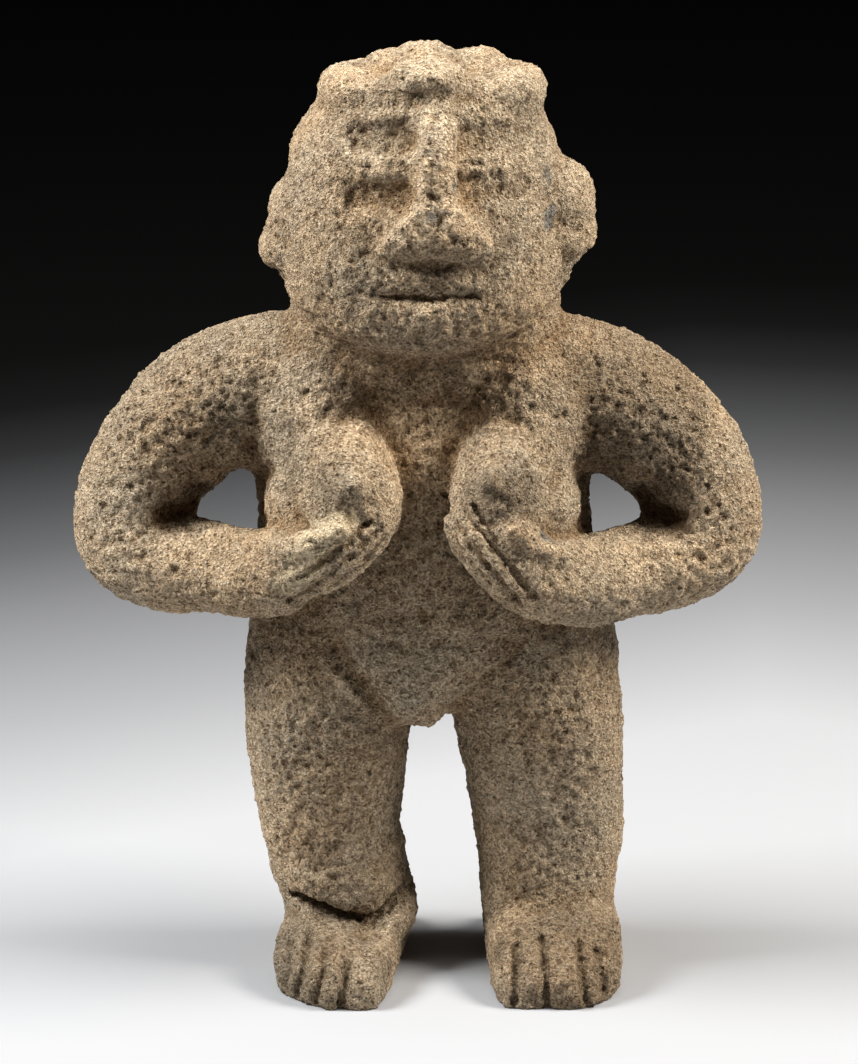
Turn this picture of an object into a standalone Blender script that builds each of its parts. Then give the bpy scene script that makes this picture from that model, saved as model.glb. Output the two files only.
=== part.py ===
"""A standing female figure, cut from one block of pitted volcanic stone.

She stands on her own two feet and holds her breasts from below, so each arm
makes an open loop with the trunk. The whole figure is one solid. It is built
the way a carver works: rough masses are set in place and fused into one block,
the joins are rubbed smooth, the details are cut with a chisel, and the soles
are cut flat.

Lengths are in modules, 1/310 of the figure's height, so that a module is one
millimetre on a figure 310 mm high. +X is the viewer's right, which is the
figure's left side, +Y is behind the figure and +Z is up.
"""

import math

import bmesh
import bpy
import numpy as np
from mathutils import Matrix, Vector

# The real size
FIGURE_HEIGHT = 0.310
MODULES_HIGH = 310
MODULE = FIGURE_HEIGHT / MODULES_HIGH

# How finely the stone is worked: the grain in modules, and how often and how hard it is rubbed
GRAIN = 1.2
RUBBING_PASSES = 12
RUBBING_STRENGTH = 0.5
FINISHED_TRIANGLES = 9600

# How finely the rough masses are drawn
RING_POINTS = 28
LUMP_MERIDIANS = 24
LUMP_PARALLELS = 16
LIMB_STEPS = 6
SAME_POINT = 1e-6

# How boxy the rough masses are in section: 2 is an ellipse, and more is boxier
SOFT_FRONT = 2.4
SOFT_BACK = 2.2
SHIELD_FRONT = 2.6
HEAD_FRONT = 2.3
HEAD_BACK = 2.0
NOSE_FRONT = 4.0
BAND_FRONT = 2.8
FOOT_SQUARENESS = 3.0

# How fast a chisel's bite grows as the skin turns towards it
BITE = 2.5

# The stone
STONE_COLOUR = (0.30, 0.245, 0.175, 1.0)
STONE_ROUGHNESS = 0.92


def clear_scene():
    """Removes whatever the scene holds."""
    for obj in list(bpy.data.objects):
        bpy.data.objects.remove(obj)


def metres(modules):
    """A point or a set of lengths in modules, turned into metres."""
    return tuple(length * MODULE for length in modules)


def closed_mesh(name, build):
    """A mesh made by build(bm), with its doubles merged and its faces pointing out."""
    mesh = bpy.data.meshes.new(name)
    bm = bmesh.new()
    build(bm)
    bmesh.ops.remove_doubles(bm, verts=bm.verts, dist=SAME_POINT)
    bmesh.ops.recalc_face_normals(bm, faces=bm.faces)
    bm.to_mesh(mesh)
    bm.free()
    return mesh


def lump(centre, radii, lean=0.0, turn=0.0):
    """An ellipsoid. It leans about Y, in the front view, and turns about Z, in degrees."""

    def build(bm):
        bmesh.ops.create_uvsphere(
            bm, u_segments=LUMP_MERIDIANS, v_segments=LUMP_PARALLELS, radius=1.0
        )
        place = (
            Matrix.Translation(metres(centre))
            @ Matrix.Rotation(math.radians(turn), 4, "Z")
            @ Matrix.Rotation(math.radians(lean), 4, "Y")
            @ Matrix.Diagonal((*metres(radii), 1.0))
        )
        bmesh.ops.transform(bm, matrix=place, verts=bm.verts)

    return closed_mesh("lump", build)


def oval(half_width, half_height, squareness):
    """Points round a superellipse: squareness 2 is an ellipse, and more is boxier."""
    points = []
    for step in range(RING_POINTS):
        angle = 2 * math.pi * step / RING_POINTS
        across, up = math.cos(angle), math.sin(angle)
        points.append(
            (
                half_width * math.copysign(abs(across) ** (2 / squareness), across),
                half_height * math.copysign(abs(up) ** (2 / squareness), up),
            )
        )
    return points


def loft(rings):
    """A closed body through rings of points, its ends filled."""

    def build(bm):
        loops = [[bm.verts.new(metres(point)) for point in ring] for ring in rings]
        for lower, upper in zip(loops, loops[1:]):
            for i in range(RING_POINTS):
                j = (i + 1) % RING_POINTS
                bm.faces.new((lower[i], lower[j], upper[j], upper[i]))
        bm.faces.new(loops[0])
        bm.faces.new(loops[-1])

    return closed_mesh("loft", build)


def column(stations, front=SOFT_FRONT, back=SOFT_BACK):
    """A body lofted upwards. A station is (height, middle x, middle y, half width, half depth).

    The squareness of its front half and of its back half are set apart.
    """
    rings = []
    for z, x, y, half_width, half_depth in stations:
        front_oval = oval(half_width, half_depth, front)
        back_oval = oval(half_width, half_depth, back)
        pairs = zip(front_oval, back_oval)
        ring = [ahead if ahead[1] < 0 else behind for ahead, behind in pairs]
        rings.append([(x + u, y + v, z) for u, v in ring])
    return loft(rings)


def slab(stations):
    """A foot lofted forwards. A station is (y, middle x, half width, bottom, top)."""
    rings = []
    for y, x, half_width, bottom, top in stations:
        middle, half_height = (top + bottom) / 2, (top - bottom) / 2
        ring = oval(half_width, half_height, FOOT_SQUARENESS)
        rings.append([(x + u, y, middle + v) for u, v in ring])
    return loft(rings)


def limb(stations):
    """A round limb on a smooth curve. A station is (x, y, z, radius)."""
    curve = bpy.data.curves.new("limb", "CURVE")
    curve.dimensions = "3D"
    curve.bevel_depth = MODULE
    curve.bevel_resolution = LIMB_STEPS
    curve.resolution_u = LIMB_STEPS
    curve.use_fill_caps = True
    spline = curve.splines.new("BEZIER")
    spline.bezier_points.add(len(stations) - 1)
    for point, (x, y, z, radius) in zip(spline.bezier_points, stations):
        point.co = metres((x, y, z))
        point.radius = radius
        point.handle_left_type = point.handle_right_type = "AUTO"
    holder = bpy.data.objects.new("limb", curve)
    bpy.context.collection.objects.link(holder)
    bpy.context.view_layer.update()
    graph = bpy.context.evaluated_depsgraph_get()
    tube = bpy.data.meshes.new_from_object(holder.evaluated_get(graph))
    bpy.data.objects.remove(holder)

    def build(bm):
        bm.from_mesh(tube)

    return closed_mesh("limb", build)


# The trunk: (height, middle x, middle y, half width, half depth)
TRUNK = (
    (90, 0.5, 3, 46, 17),
    (97, 0.8, 2, 60, 24),
    (107, 0.8, 1, 62, 27),
    (120, 0.3, 1, 60, 27),
    (140, -1.5, 1, 55, 25.5),
    (160, -2.3, 2, 54.5, 25),
    (182, -3, 3, 55.5, 25),
    (200, -4, 3, 57, 24),
    (213, -4, 2, 51, 22),
    (224, -3, 0, 40, 20),
)
# The bulging shield below the belly, ending in a blunt point between the legs
SHIELD = (
    (88, -4, -14, 6, 8),
    (92, -4.5, -14, 10, 12),
    (97, -5, -14, 13.2, 14),
    (104, -4.2, -14, 19.2, 15.2),
    (114, -2.2, -14, 27.6, 16.2),
    (124, -1.5, -13, 35, 17),
    (138, -2, -10, 40, 18),
    (154, -2, -4, 40, 20),
)
# The arms, from the shoulder round the elbow to the wrist: (x, y, z, radius)
RIGHT_ARM = (
    (-22, 2, 204, 15),
    (-46, 2, 200.4, 22),
    (-70, 2, 191.8, 23),
    (-87, 2, 177, 21),
    (-96, 0, 161, 19.8),
    (-97.3, -4, 148.5, 18.8),
    (-88.3, -9, 141.8, 17),
    (-72, -15, 140.8, 14.6),
    (-56, -23, 140.5, 14.5),
    (-44, -30, 144, 13.5),
)
LEFT_ARM = (
    (16, 2, 204, 15),
    (38, 2, 200.4, 22),
    (60, 2, 191.8, 23),
    (78.7, 2, 177.5, 21.5),
    (88.4, 0, 161, 19.8),
    (89.2, -4, 149.5, 18.2),
    (78.3, -9, 142, 16.6),
    (64, -15, 139.2, 15),
    (51, -23, 138.3, 15),
    (39, -30, 141, 14),
)
# The breasts hang forward and down, and the hands cup them from below
RIGHT_BREAST = (
    (-31, -6, 192, 8),
    (-29.5, -16, 184.5, 12.4),
    (-27.5, -26, 177, 16),
    (-26, -30.5, 167, 17.6),
    (-26, -30, 156, 15),
)
LEFT_BREAST = (
    (25.5, -6, 192, 8),
    (24.8, -16, 184.5, 12),
    (23.5, -26, 177, 15.2),
    (22.7, -30.5, 167, 16.8),
    (23, -30, 156, 15),
)
RIGHT_NIPPLE = (-24, -45.2, 175.5)
LEFT_NIPPLE = (19.5, -43.4, 177)
NIPPLE_RADII = (4.8, 4.8, 4.8)
# The chest swells out beside them, towards the arms: (centre, radii)
CHEST = (
    ((-36, -9, 190), (23, 19.5, 27)),
    ((-38, -15.5, 162.5), (16, 21, 18)),
    ((31, -9, 190), (23, 19.5, 27)),
    ((33, -15, 163), (16, 21, 18)),
)
# The armpits round off the tops of the arm loops: (centre, radii)
ARMPITS = (
    ((-56, 1, 178.5), (10, 16, 9)),
    ((51.5, 1, 178), (9, 16, 9)),
)
# The throat fills the hollow under the jaw: (centre, radii)
THROAT = ((-3, -8, 207), (30, 14, 15))
# The neck is as wide as the jaw, and runs into the shoulders:
# (height, middle x, middle y, half width, half depth)
NECK = (
    (186, -3, 3, 44, 20),
    (198, -3, 2, 47, 23.5),
    (207, -3, 1, 47, 25.5),
    (216, -2.4, -0.5, 45.2, 27),
    (224, -1.6, -2, 43.6, 28.5),
    (234, -1.6, -3, 42.6, 28),
)
RIGHT_HAND = (
    (-46, -30, 146, 13),
    (-37, -35, 149.5, 12.5),
    (-28.5, -38, 154.5, 11.5),
    (-20, -38, 161.5, 9.5),
    (-14.5, -36, 167, 7),
)
LEFT_HAND = (
    (44, -28, 139, 13.5),
    (34, -34, 142.5, 13.5),
    (25, -38, 149.5, 12.5),
    (16, -39, 158.5, 11),
    (10, -37, 167, 8),
)
RIGHT_THUMB = (
    (-46, -38, 151, 5.5),
    (-36, -45, 157, 5.2),
    (-27, -48, 164, 4.4),
)
LEFT_THUMB = (
    (41, -38, 149, 5),
    (32, -45, 156, 5),
    (25, -48, 163.5, 4),
)
# The legs: (height, middle x, middle y, half width, half depth)
RIGHT_LEG = (
    (6, -26.8, 5, 19.2, 20),
    (15, -27.1, 4, 21.2, 22),
    (23, -27.7, 3.5, 22.5, 23),
    (31, -30.8, 3, 22.9, 23),
    (39, -31.7, 3, 23.1, 22.5),
    (47, -33.6, 3, 23.2, 22.5),
    (55, -34, 2.5, 24.3, 23),
    (63, -34.1, 2, 25.3, 23.5),
    (79, -34.1, 1, 27, 24.5),
    (88, -33.6, 1, 28.2, 25.5),
    (100, -32.2, 1, 29.2, 26),
    (112, -30.5, 1, 28.7, 25.2),
    (122, -30, 1, 27.5, 23),
    (132, -29.5, 1, 25, 18),
)
LEFT_LEG = (
    (6, 39.4, 5, 20.5, 20),
    (15, 39.3, 0, 21.6, 25),
    (23, 39.3, 1.5, 22.4, 24.2),
    (31, 39.4, 2.6, 22.8, 23.2),
    (39, 39.8, 3, 24.1, 22.8),
    (47, 39.8, 3, 25.2, 22.5),
    (55, 39.1, 2.5, 25.4, 23),
    (63, 38.1, 2, 25.8, 23.5),
    (79, 36.5, 1, 27.7, 24.5),
    (88, 35.4, 1, 28.3, 25.5),
    (100, 33.2, 1, 29.3, 26),
    (112, 32.2, 1, 28.5, 25.2),
    (122, 31.5, 1, 27.5, 23),
    (132, 30.5, 1, 25, 18),
)
# The feet, from the heel to the toes: (y, middle x, half width, bottom, top)
SOLE_DEPTH = -5
RIGHT_FOOT = (
    (38, -22.5, 7, SOLE_DEPTH, 6),
    (34, -23, 13, SOLE_DEPTH, 13),
    (25, -24.5, 17, SOLE_DEPTH, 19),
    (4, -28, 20, SOLE_DEPTH, 22),
    (-18, -31.3, 20.5, SOLE_DEPTH, 22),
    (-27, -32, 19.8, SOLE_DEPTH, 20),
    (-34, -31.8, 18.6, SOLE_DEPTH, 17.6),
    (-40, -30.8, 16.4, SOLE_DEPTH, 15.6),
    (-45, -29, 13, SOLE_DEPTH, 14.6),
    (-50, -26.6, 8.5, SOLE_DEPTH, 10),
)
LEFT_FOOT = (
    (38, 36.5, 8, SOLE_DEPTH, 6),
    (34, 37.5, 15, SOLE_DEPTH, 13),
    (25, 39, 19, SOLE_DEPTH, 20),
    (4, 40.3, 22, SOLE_DEPTH, 26),
    (-12, 40.8, 22, SOLE_DEPTH, 29),
    (-20, 41.3, 22.3, SOLE_DEPTH, 27),
    (-28, 41.7, 22, SOLE_DEPTH, 23),
    (-36, 41.4, 21, SOLE_DEPTH, 19),
    (-43.5, 39.9, 18, SOLE_DEPTH, 15),
    (-49, 38, 13, SOLE_DEPTH, 10),
)
# The foot stands proud of the leg on the inner side of the broken ankle: (centre, radii)
RIGHT_ANKLE = ((-14, -5, 20), (9.8, 15, 11))
# The head sits straight on the shoulders: (height, middle x, middle y, half width, half depth)
HEAD = (
    (213, -3, -13, 12, 14),
    (217, -3, -12, 25, 24.5),
    (222, -2.5, -9, 36, 31),
    (230, -2.3, -6, 43.5, 36),
    (240, -2.2, -4, 46, 38.5),
    (256, -2.2, -3, 45, 39.5),
    (270, -1.8, -3, 43.6, 38.5),
    (278, -2.2, -3, 42.4, 37.5),
    (283, -2.2, -3, 40.4, 36.5),
    (288, -1.4, -3, 37.4, 35.3),
    (293, -0.4, -3, 35, 34),
    (298, 0.4, -2, 32, 31),
    (302, 0.4, 0, 26, 24),
)
# The nose is a wedge with a flat front, as wide as the mouth at its foot:
# (height, middle x, middle y, half width, half depth)
NOSE = (
    (246.5, 1.7, -33, 13.5, 9),
    (249.5, 1.7, -36, 17, 12),
    (253.5, 1.7, -37, 17.6, 12.6),
    (257.5, 1.7, -37, 15, 12.4),
    (262, 1.6, -37, 10.6, 11.8),
    (267, 1.5, -37, 6.8, 10.6),
    (280, 1.5, -36, 5.6, 9.6),
    (290, 1.5, -34.5, 5.4, 8.5),
    (297, 1.5, -31, 5, 7),
)
# The muzzle, a low swelling that carries the mouth and the chin: (centre, radii)
MUZZLE = ((-0.5, -23, 232), (22, 21, 17))
LIPS = (
    ((-17, -37, 240.5, 3.4), (-1, -41, 241.5, 4), (15, -37, 240.5, 3.4)),
    ((-14, -37, 229.5, 3), (-2, -39.5, 228.5, 3.8), (12, -37, 229.5, 3)),
)
# The ears, as lobes that stand out from the sides of the head: (centre, radii, lean)
EARS = (
    ((-42, -4, 256), (10.2, 16, 13), 8),
    ((-45, -3, 245.5), (10.5, 14, 8.6), -16),
    ((41, -4, 261), (12, 16, 12.5), -6),
    ((41.5, -4, 250), (12, 15, 11), 0),
    ((38, -3, 239), (8, 13, 9), 0),
)
# The lower level of the headdress is a band round the head:
# (height, middle x, middle y, half width, half depth)
BAND = (
    (287, 0.6, -1, 31, 27),
    (291, 0.7, -1, 35, 31),
    (295, 0.8, -1, 36.4, 32),
    (299, 0.8, -1, 36, 31.5),
    (302, 0.8, -1, 33, 28),
)
# The rolls on it, and those of the upper level: (centre, radii)
LOWER_ROLLS = (
    ((-0.7, -29, 302.6), (13.2, 10.5, 6.2)),
    ((-24, -17, 297.5), (10, 13, 6.5)),
    ((25, -17, 298), (10, 13, 6.5)),
    ((-22, 14, 292), (12, 14, 9)),
    ((23, 14, 292.5), (12, 14, 9)),
    ((0, 22, 291), (17, 10, 9)),
)
UPPER_ROLLS = (
    ((-2, -1, 300.09), (12.5, 21, 10)),
    ((-14, 0, 298.4), (9, 16, 9)),
    ((15, 0, 299), (11, 16, 9.2)),
)
BUTTOCKS = (
    ((-25, 13, 105), (26, 18, 21)),
    ((26, 13, 105), (26, 18, 21)),
)

# Chisel cuts, seen from the front. A path runs through (x, height) points.
# A cut keeps its full depth within its bed, and fades out at its half width.
# An eye is a bar left between two hollows; those of the left eye are more worn.
RIGHT_EYE_CUTS = (
    ((-21.5, 284.6), (-8.5, 285.1)),
    ((-21.5, 267.4), (-8.5, 267.6)),
)
RIGHT_EYE_CUT = {"half_width": 6.4, "bed": 3.2, "depth": 2.7, "aim": (0, 0.95, -0.31)}
LEFT_EYE_CUTS = (
    ((11.5, 284.8), (26.5, 283.8)),
    ((11.5, 269.2), (26, 269)),
)
LEFT_EYE_CUT = {"half_width": 6.4, "bed": 2.6, "depth": 2.1, "aim": (0, 0.95, -0.31)}
MOUTH_CUT = {"path": ((-15.5, 235.5), (-1, 235), (13.5, 235.5)), "half_width": 2.4, "bed": 0.4, "depth": 2.2}
CHEEK_CUTS = (
    ((-20, 251), (-21.5, 241), (-20, 232)),
    ((22.5, 250), (20, 241), (19, 232)),
)
CHEEK_CUT = {"half_width": 6.0, "bed": 0.4, "depth": 0.7}
NAVEL_CUT = {"path": ((-3, 128), (-2.5, 128)), "half_width": 3.4, "bed": 0.8, "depth": 1.6}
GROIN_CUTS = (
    ((-31, 116), (-25, 107.5), (-18.6, 97.8), (-11.5, 90.5)),
    ((27, 115), (17, 105.5), (7.1, 95), (4, 90)),
)
GROIN_CUT = {"half_width": 5.5, "bed": 0.4, "depth": 1.2}
# The crooks of the elbows
CROOK_CUTS = (
    ((-85, 158), (-77, 157.5), (-76, 164)),
    ((78, 157), (70, 157), (69, 163)),
)
CROOK_CUT = {"half_width": 7.5, "bed": 1.0, "depth": 7.0}
# Between the fingers
RIGHT_FINGER_CUTS = (
    ((-37, 149), (-30, 155), (-18, 165)),
    ((-38, 142.5), (-31.5, 149), (-16, 162)),
    ((-36, 135), (-28.5, 145.5), (-14.5, 158)),
)
LEFT_FINGER_CUTS = (
    ((14, 169), (19, 161), (25, 154)),
    ((10.5, 168), (22, 154.5), (33, 140)),
    ((6.5, 164.5), (17.5, 152), (28.5, 137)),
    ((5, 158), (13, 147.5), (22, 136.5)),
)
FINGER_CUT = {"half_width": 1.7, "bed": 0.2, "depth": 1.5}
# Between the toes
RIGHT_TOE_CUTS = (
    ((-46.5, 16), (-47.5, 3)),
    ((-40, 18.5), (-44, 1)),
    ((-34.5, 15.5), (-37.5, 0)),
    ((-27, 14), (-29.5, 0)),
)
LEFT_TOE_CUTS = (
    ((28, 17), (27.6, 2)),
    ((36.8, 19), (38.3, 0)),
    ((49, 18), (50.5, 2)),
    ((55, 16), (57.5, 4)),
)
TOE_CUT = {"half_width": 2.4, "bed": 0.4, "depth": 2.2, "aim": (0, 0.85, -0.53)}
# The hollow in the foot, under the open break
SOCKET_CUT = {
    "path": ((-24, 21), (-18, 20.5), (-12, 25)),
    "half_width": 5.0,
    "bed": 1.5,
    "depth": 3.2,
    "aim": (0, 0.6, -0.8),
}
# The furrow down the back, and the cleft below it
SPINE_CUT = {"path": ((-1, 196), (-1, 128)), "half_width": 9, "bed": 0.5, "depth": 2.2, "aim": (0, -1, 0)}
CLEFT_CUT = {"path": ((0, 124), (0, 88)), "half_width": 5, "bed": 0.5, "depth": 4, "aim": (0, -1, 0)}

# The open break across the right ankle. Each point is on the skin, at the lower edge
# of the shin, with the gap beside it and below it: (x, y, height, across, down). The wedge runs
# from outside the skin towards the axis of the ankle, and falls on the way.
BREAK = (
    (-46.5, -3, 32.5, 0, 2.2),
    (-38.0, -14, 27.8, -0.5, 5.4),
    (-32.5, -18, 25.4, 0, 7.0),
    (-27.5, -20, 24.6, 0, 8.2),
    (-22.8, -20, 23.4, 0, 9.2),
    (-18.8, -20, 23.4, 1.0, 9.2),
    (-15.6, -18, 25.4, 3.0, 8.0),
    (-12.4, -14, 28.6, 4.5, 5.6),
    (-8.5, -5, 31.5, 3.5, 1.4),
)
ANKLE_AXIS = (-27, 5)
BREAK_OUTSIDE, BREAK_INSIDE = 1.3, 0.55
BREAK_FALL = 3.0


def rough_masses():
    """Every rough mass of the figure, each a closed mesh that overlaps its neighbours."""
    masses = [column(TRUNK), column(SHIELD, front=SHIELD_FRONT)]
    masses += [column(NECK), column(HEAD, front=HEAD_FRONT, back=HEAD_BACK)]
    masses += [column(BAND, front=BAND_FRONT), column(NOSE, front=NOSE_FRONT)]
    masses += [column(leg) for leg in (RIGHT_LEG, LEFT_LEG)]
    masses += [slab(foot) for foot in (RIGHT_FOOT, LEFT_FOOT)]
    limbs = [RIGHT_ARM, LEFT_ARM, RIGHT_BREAST, LEFT_BREAST, RIGHT_HAND, LEFT_HAND]
    limbs += [RIGHT_THUMB, LEFT_THUMB, *LIPS]
    masses += [limb(stations) for stations in limbs]
    masses += [lump(nipple, NIPPLE_RADII) for nipple in (RIGHT_NIPPLE, LEFT_NIPPLE)]
    masses += [lump(centre, radii, lean) for centre, radii, lean in EARS]
    lumps = [*CHEST, *ARMPITS, THROAT, MUZZLE, *BUTTOCKS, RIGHT_ANKLE, *LOWER_ROLLS, *UPPER_ROLLS]
    masses += [lump(centre, radii) for centre, radii in lumps]
    return masses


def fuse(name, masses):
    """One object that holds every mass, fused into a single skin and rubbed smooth."""
    bm = bmesh.new()
    for mesh in masses:
        bm.from_mesh(mesh)
        bpy.data.meshes.remove(mesh)
    mesh = bpy.data.meshes.new(name)
    bm.to_mesh(mesh)
    bm.free()
    figure = bpy.data.objects.new(name, mesh)
    remesh = figure.modifiers.new("fuse", "REMESH")
    remesh.mode = "VOXEL"
    remesh.voxel_size = GRAIN * MODULE
    rub = figure.modifiers.new("rub", "SMOOTH")
    rub.factor = RUBBING_STRENGTH
    rub.iterations = RUBBING_PASSES
    bpy.context.collection.objects.link(figure)
    return figure


def apply_modifiers(figure):
    """Makes the object's mesh what its modifiers show."""
    bpy.context.view_layer.update()
    graph = bpy.context.evaluated_depsgraph_get()
    finished = bpy.data.meshes.new_from_object(figure.evaluated_get(graph))
    rough = figure.data
    figure.modifiers.clear()
    figure.data = finished
    finished.name = rough.name
    bpy.data.meshes.remove(rough)


def chisel(figure, path, half_width, bed, depth, aim=(0, 1, 0)):
    """Cuts a groove along a path of (x, height) points, into the skin that faces the aim."""
    path = [metres(point) for point in path]
    half_width, bed, depth = metres((half_width, bed, depth))
    mesh = figure.data
    points = np.empty(len(mesh.vertices) * 3)
    mesh.vertices.foreach_get("co", points)
    points = points.reshape(-1, 3)
    normals = np.empty(len(mesh.vertices) * 3)
    mesh.vertices.foreach_get("normal", normals)
    facing = np.clip(-BITE * normals.reshape(-1, 3) @ np.array(aim), 0, 1)
    seen = points[:, [0, 2]]
    nearest = np.full(len(seen), np.inf)
    for start, end in zip(path, path[1:]):
        start, run = np.array(start), np.subtract(end, start)
        along = np.clip((seen - start) @ run / (run @ run), 0, 1)
        gap = np.linalg.norm(seen - start - along[:, None] * run, axis=1)
        nearest = np.minimum(nearest, gap)
    share = np.clip((half_width - nearest) / (half_width - bed), 0, 1)
    points += np.outer(depth * facing * share * share * (3 - 2 * share), aim)
    mesh.vertices.foreach_set("co", points.ravel())
    mesh.update()


def carve_details(figure):
    """Cuts every groove of the face, the hands, the belly, the feet and the back."""
    for path in RIGHT_EYE_CUTS:
        chisel(figure, path, **RIGHT_EYE_CUT)
    for path in LEFT_EYE_CUTS:
        chisel(figure, path, **LEFT_EYE_CUT)
    for path in CHEEK_CUTS:
        chisel(figure, path, **CHEEK_CUT)
    for path in GROIN_CUTS:
        chisel(figure, path, **GROIN_CUT)
    for path in CROOK_CUTS:
        chisel(figure, path, **CROOK_CUT)
    for path in (*RIGHT_FINGER_CUTS, *LEFT_FINGER_CUTS):
        chisel(figure, path, **FINGER_CUT)
    for path in (*RIGHT_TOE_CUTS, *LEFT_TOE_CUTS):
        chisel(figure, path, **TOE_CUT)
    chisel(figure, **MOUTH_CUT)
    chisel(figure, **NAVEL_CUT)
    chisel(figure, **SOCKET_CUT)
    chisel(figure, **SPINE_CUT)
    chisel(figure, **CLEFT_CUT)


def thin_out(figure):
    """Brings the skin down to a few thousand faces, most of them kept round the carving."""
    faces = sum(len(polygon.vertices) - 2 for polygon in figure.data.polygons)
    thin = figure.modifiers.new("thin", "DECIMATE")
    thin.ratio = FINISHED_TRIANGLES / faces
    apply_modifiers(figure)


def open_break(figure):
    """Takes a thin wedge out of the right ankle, open at the skin and closed inside the leg."""

    def reach(x, y, share):
        """The point at a share of the way from the ankle's axis to the skin."""
        return [axis + (value - axis) * share for axis, value in zip(ANKLE_AXIS, (x, y))]

    def build(bm):
        ribs = []
        for x, y, z, across, down in BREAK:
            outside, inside = reach(x, y, BREAK_OUTSIDE), reach(x, y, BREAK_INSIDE)
            far_lip = (outside[0] + across, outside[1], z - down)
            corners = ((*outside, z), far_lip, (*inside, z - BREAK_FALL))
            ribs.append([bm.verts.new(metres(corner)) for corner in corners])
        for one, other in zip(ribs, ribs[1:]):
            for i in range(3):
                j = (i + 1) % 3
                bm.faces.new((one[i], one[j], other[j], other[i]))
        bm.faces.new(ribs[0])
        bm.faces.new(ribs[-1])

    wedge = bpy.data.objects.new("wedge", closed_mesh("wedge", build))
    bpy.context.collection.objects.link(wedge)
    cut = figure.modifiers.new("break", "BOOLEAN")
    cut.operation = "DIFFERENCE"
    cut.solver = "EXACT"
    cut.object = wedge
    apply_modifiers(figure)
    bpy.data.objects.remove(wedge)


def cut_soles(figure):
    """Cuts the feet flat at the ground and closes the cuts."""
    bm = bmesh.new()
    bm.from_mesh(figure.data)
    everything = [*bm.verts, *bm.edges, *bm.faces]
    bmesh.ops.bisect_plane(
        bm, geom=everything, plane_co=(0, 0, 0), plane_no=(0, 0, -1), clear_outer=True
    )
    rims = [edge for edge in bm.edges if edge.is_boundary]
    bmesh.ops.holes_fill(bm, edges=rims, sides=0)
    bmesh.ops.triangulate(bm, faces=bm.faces)
    bmesh.ops.recalc_face_normals(bm, faces=bm.faces)
    bm.to_mesh(figure.data)
    bm.free()


def set_on_origin(figure):
    """Puts the origin on the ground, under the middle of the figure."""
    points = np.array([vertex.co for vertex in figure.data.vertices])
    middle = (points.min(axis=0) + points.max(axis=0)) / 2
    figure.data.transform(Matrix.Translation((-middle[0], -middle[1], 0)))


def stone():
    """Brown volcanic stone, dull all over."""
    material = bpy.data.materials.new("volcanic_stone")
    material.use_nodes = True
    shader = material.node_tree.nodes["Principled BSDF"]
    shader.inputs["Base Color"].default_value = STONE_COLOUR
    shader.inputs["Roughness"].default_value = STONE_ROUGHNESS
    shader.inputs["Metallic"].default_value = 0.0
    return material


def main():
    clear_scene()
    figure = fuse("stone_figure", rough_masses())
    apply_modifiers(figure)
    carve_details(figure)
    thin_out(figure)
    open_break(figure)
    cut_soles(figure)
    set_on_origin(figure)
    figure.data.materials.clear()
    figure.data.materials.append(stone())
    figure.data.shade_smooth()
    collection = bpy.data.collections.new("stone_fertility_figure")
    bpy.context.scene.collection.children.link(collection)
    for holder in list(figure.users_collection):
        holder.objects.unlink(figure)
    collection.objects.link(figure)


main()
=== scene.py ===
# %% [markdown]
# # A standing figure in pitted volcanic stone
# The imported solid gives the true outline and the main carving. It is faceted, and too plain for
# a close look. Here a copy of it gets the skin of the real stone: hand-cut grooves, chips, the
# pits that gas left in the lava, the colours of the grains, and the light of a small studio.

# %% Load the solid model
import itertools
import math

import bpy
import numpy as np
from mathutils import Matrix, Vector
from mathutils.bvhtree import BVHTree


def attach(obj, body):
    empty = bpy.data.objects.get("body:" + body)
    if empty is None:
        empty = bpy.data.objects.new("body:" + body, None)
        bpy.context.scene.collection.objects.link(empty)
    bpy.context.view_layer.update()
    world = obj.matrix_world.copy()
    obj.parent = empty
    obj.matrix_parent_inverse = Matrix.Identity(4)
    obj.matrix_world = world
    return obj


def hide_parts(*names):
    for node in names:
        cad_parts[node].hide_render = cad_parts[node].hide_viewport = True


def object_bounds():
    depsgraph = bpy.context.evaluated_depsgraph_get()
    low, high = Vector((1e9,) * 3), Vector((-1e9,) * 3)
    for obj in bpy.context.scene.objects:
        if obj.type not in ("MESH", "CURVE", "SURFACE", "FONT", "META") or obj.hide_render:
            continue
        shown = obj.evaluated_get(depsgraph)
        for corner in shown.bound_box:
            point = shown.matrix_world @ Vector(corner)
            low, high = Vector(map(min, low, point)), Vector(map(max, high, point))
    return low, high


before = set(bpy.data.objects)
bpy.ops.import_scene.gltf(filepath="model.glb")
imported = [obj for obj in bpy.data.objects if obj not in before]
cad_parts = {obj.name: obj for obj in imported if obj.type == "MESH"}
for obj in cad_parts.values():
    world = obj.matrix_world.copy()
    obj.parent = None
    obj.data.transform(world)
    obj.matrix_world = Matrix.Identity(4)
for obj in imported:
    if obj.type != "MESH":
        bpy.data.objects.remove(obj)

cad_box = [list(corner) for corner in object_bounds()]
MM = 0.001
print("solid, in mm:", [[round(value / MM, 1) for value in corner] for corner in cad_box])

# %% [markdown]
# ## A skin fine enough to carve
# A carver starts from a block that already has the right masses. The copy of the solid plays
# that part. Its loose triangles are merged first, because a remesh needs one closed skin. A
# voxel remesh then spreads small, even faces over it, and a smooth modifier rubs the facets
# away. Subdivision would also give more faces, but it would keep the uneven ones.

# %% Helpers that select and finish a piece
def take(piece):
    """Selects one object alone and makes it the active one."""
    bpy.ops.object.select_all(action="DESELECT")
    piece.select_set(True)
    bpy.context.view_layer.objects.active = piece


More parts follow.
